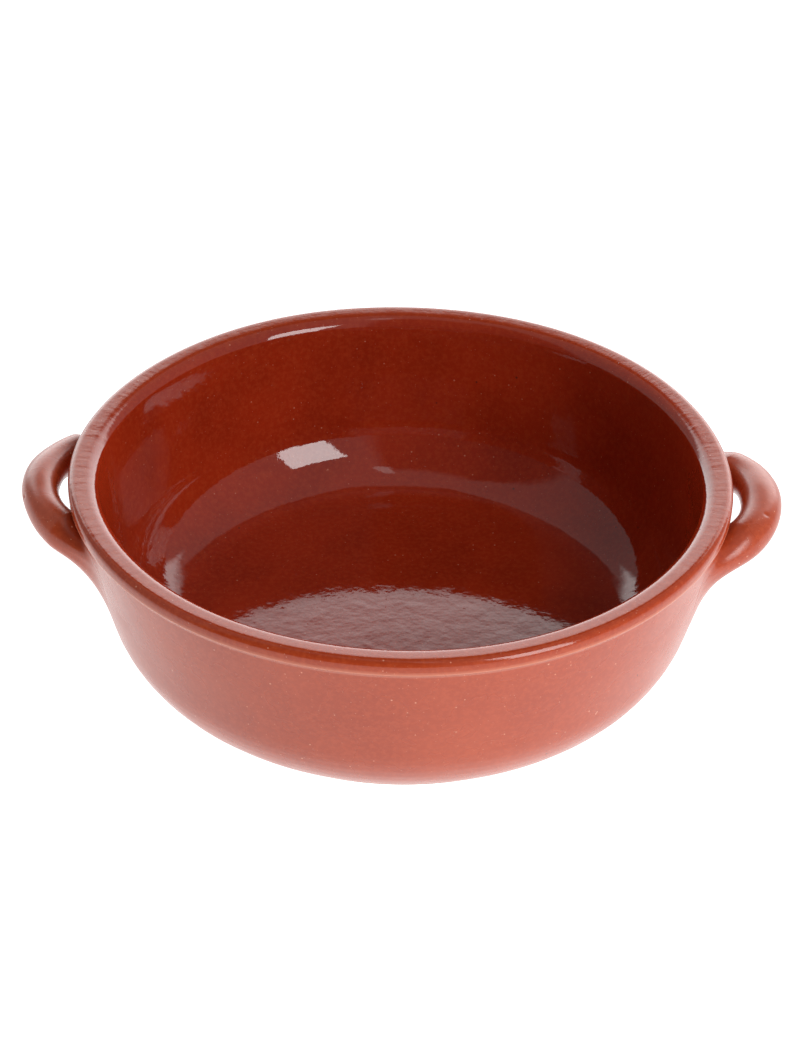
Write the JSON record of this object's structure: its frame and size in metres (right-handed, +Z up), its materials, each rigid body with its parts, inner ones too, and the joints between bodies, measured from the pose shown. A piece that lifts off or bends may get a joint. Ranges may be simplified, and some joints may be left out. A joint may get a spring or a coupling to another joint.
{
  "type": "clay casserole",
  "caption": "Round, low glazed clay casserole with a thick rolled rim and a bowed coil handle on each side.",
  "frame": {"origin": "centre of the base, on the plane that the pot stands on", "axes": "+Z up along the pot's axis, the two handles along -X and +X"},
  "size_m": [0.3242, 0.28, 0.088],
  "materials": {
    "glazed_clay": "gloss red-brown glaze over red earthenware"
  },
  "bodies": {
    "root": {"bowl": "glazed_clay", "handle_left": "glazed_clay", "handle_right": "glazed_clay"}
  },
  "joints": []
}
